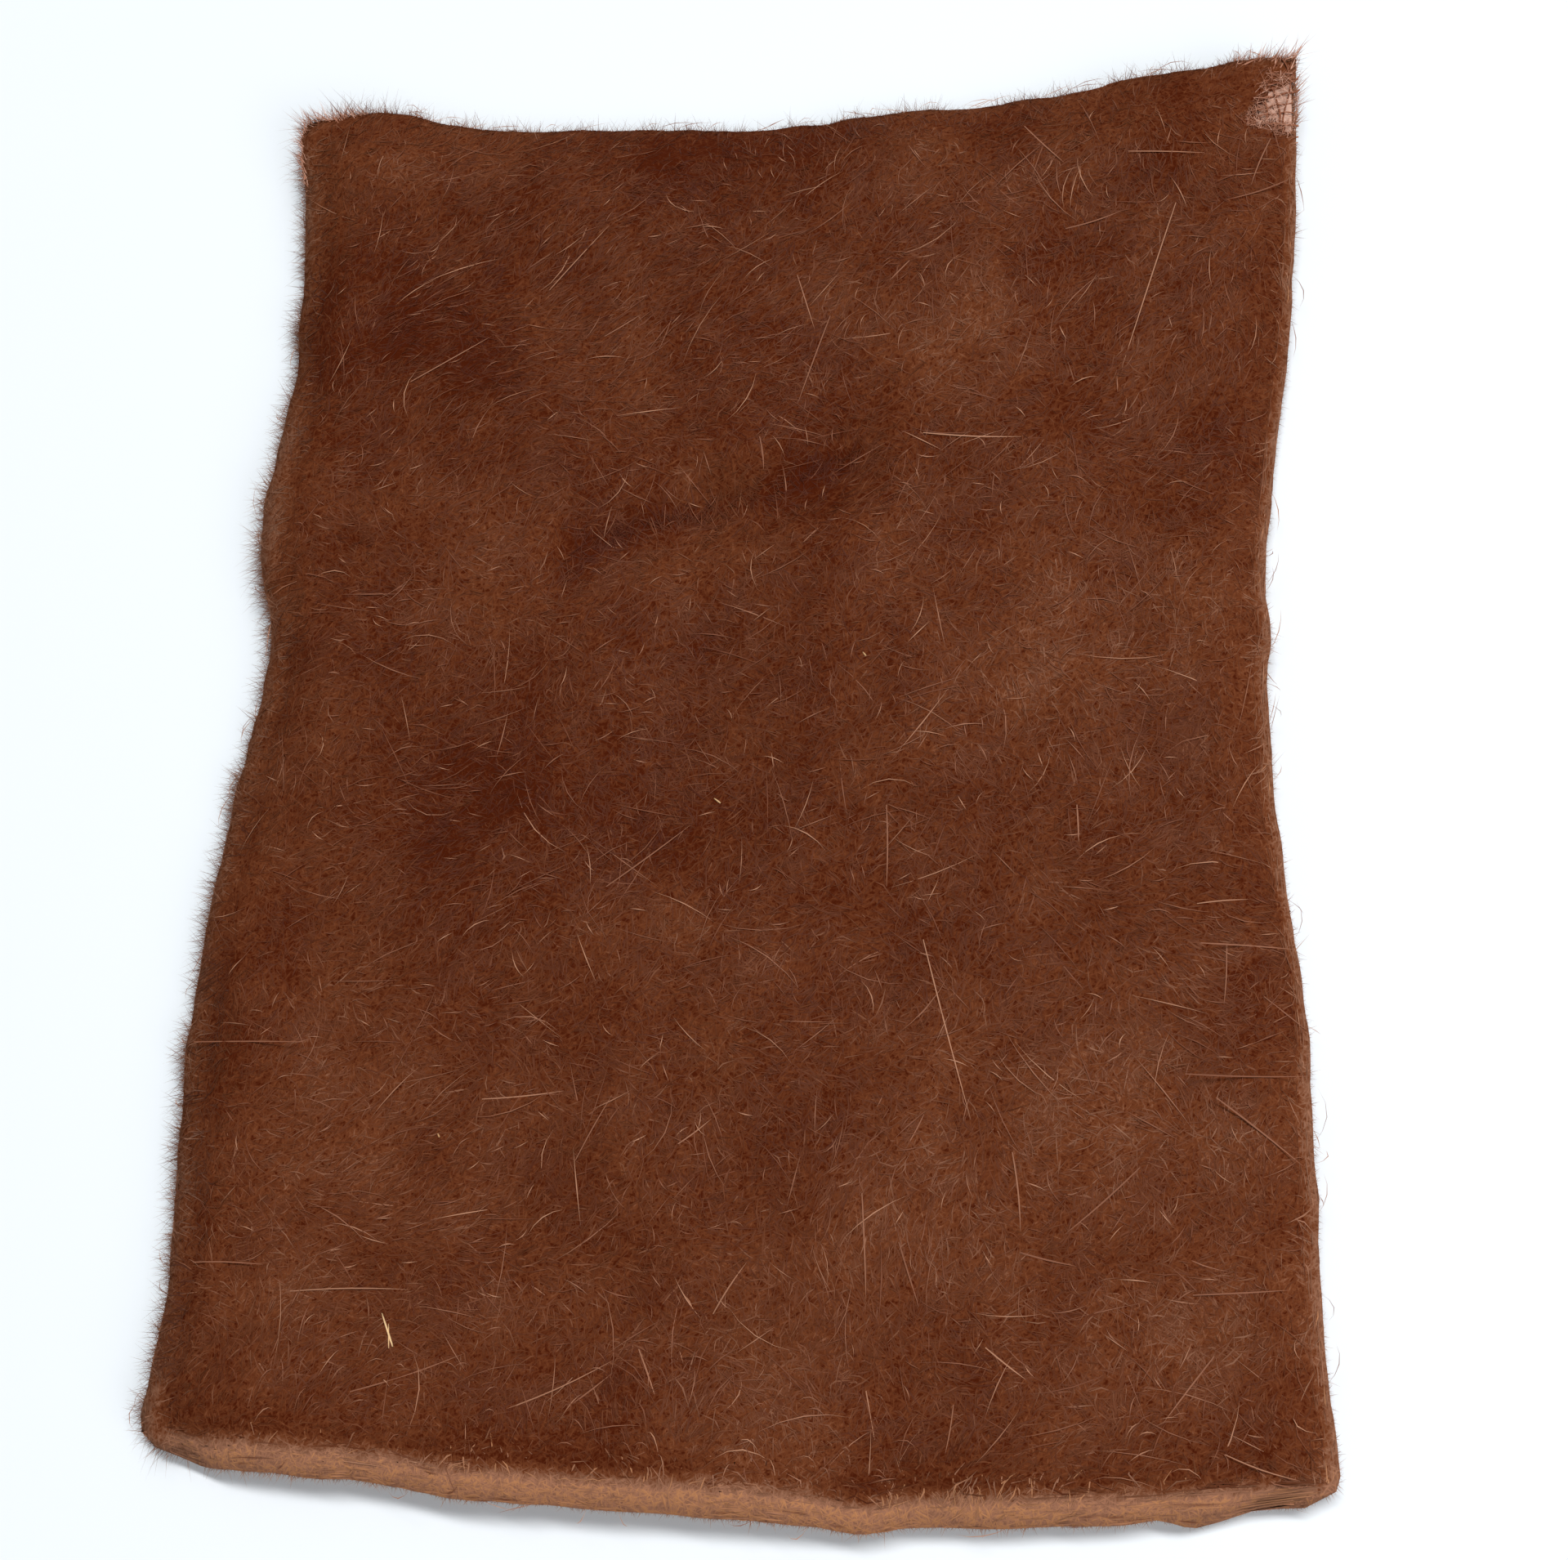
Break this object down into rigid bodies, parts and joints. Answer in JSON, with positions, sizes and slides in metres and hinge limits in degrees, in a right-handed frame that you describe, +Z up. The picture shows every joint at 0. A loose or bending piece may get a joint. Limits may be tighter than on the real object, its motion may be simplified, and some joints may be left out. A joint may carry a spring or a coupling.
{
  "type": "cut piece of rabbit hair pile cloth",
  "caption": "Roughly rectangular cut piece of short, matted brown rabbit hair on a woven ground, lying flat with its pile up, for trimming and soft toy making.",
  "frame": {"origin": "middle of the flat underside, on the surface the cloth rests on", "axes": "+Z up, +Y along the longer side towards the far cut edge, +X to the right"},
  "size_m": [0.1038, 0.1389, 0.0065],
  "materials": {
    "rabbit_hair": "short, dense, slightly matted brown hair with a soft sheen"
  },
  "bodies": {
    "root": {"hair_pile_cloth": "rabbit_hair"}
  },
  "joints": []
}
